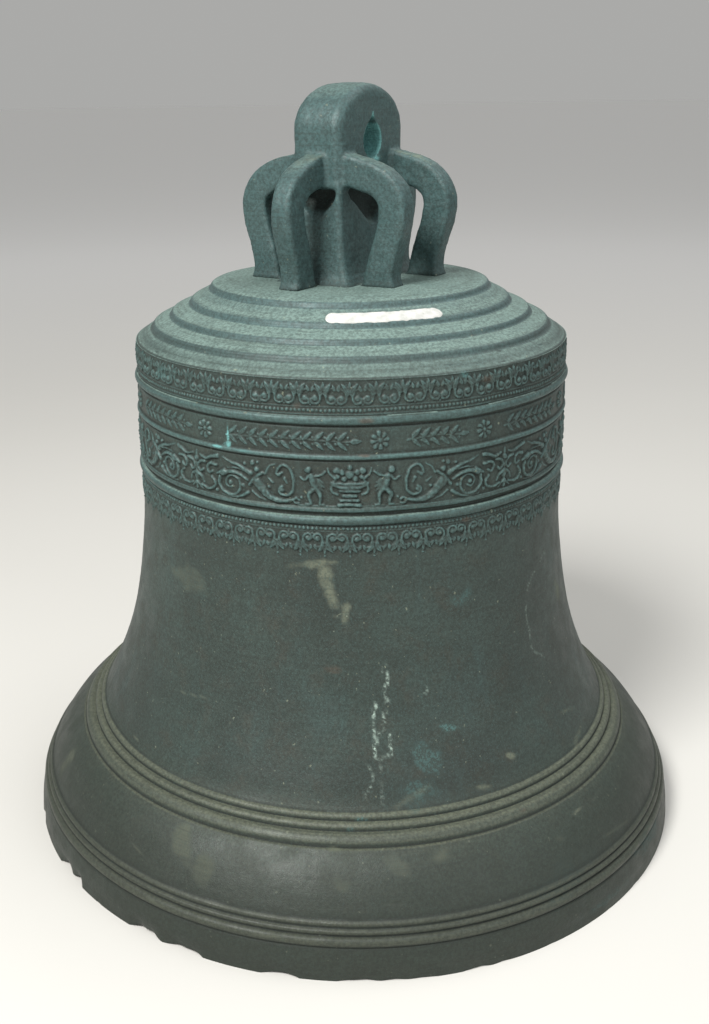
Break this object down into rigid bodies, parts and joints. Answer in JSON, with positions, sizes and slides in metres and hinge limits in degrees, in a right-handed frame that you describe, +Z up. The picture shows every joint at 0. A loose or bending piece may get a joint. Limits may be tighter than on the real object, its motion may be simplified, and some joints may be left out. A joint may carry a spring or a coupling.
{
  "type": "church bell",
  "caption": "Old bronze church bell with a crown of suspension loops and friezes in relief, standing on its mouth, with a swinging clapper on a leather strap inside.",
  "frame": {"origin": "centre of the mouth, on the surface the bell stands on", "axes": "+Z up the bell's axis to the top of the crown; +X along the wide faces of the argent and along the clapper's bars; +Y the way the clapper swings"},
  "size_m": [0.56, 0.56, 0.591],
  "materials": {
    "bronze_patina": "aged green-grey patina, matt",
    "bronze_patina_crown": "bluish green patina, matt",
    "forged_iron": "dark forged, lightly rusted",
    "strap_leather": "old oiled",
    "label_white": "chalky matt paint"
  },
  "bodies": {
    "bell": {"bell_body": "bronze_patina", "crown_post": "bronze_patina_crown", "argent": "bronze_patina_crown", "canon_front_left": "bronze_patina_crown", "canon_front_right": "bronze_patina_crown", "canon_back_left": "bronze_patina_crown", "canon_back_right": "bronze_patina_crown", "canon_side_left": "bronze_patina_crown", "canon_side_right": "bronze_patina_crown", "inventory_label": "label_white", "crown_staple": "forged_iron"},
    "strap": {"clapper_strap": "strap_leather", "strap_cheek_front": "forged_iron", "strap_cheek_back": "forged_iron", "strap_bolt_upper": "forged_iron", "strap_bolt_lower": "forged_iron", "strap_washer_upper": "forged_iron", "strap_washer_lower": "forged_iron", "strap_nut_upper": "forged_iron", "strap_nut_lower": "forged_iron"},
    "clapper": {"clapper": "forged_iron"}
  },
  "joints": [
    {"name": "strap_swing", "type": "hinge", "parent": "bell", "child": "strap", "pos_m": [0, 0, 0.364], "axis": [1, 0, 0], "range_deg": [-22, 22]},
    {"name": "clapper_swing", "type": "hinge", "parent": "strap", "child": "clapper", "pos_m": [0, 0, 0.268], "axis": [1, 0, 0], "range_deg": [-14, 14]}
  ]
}
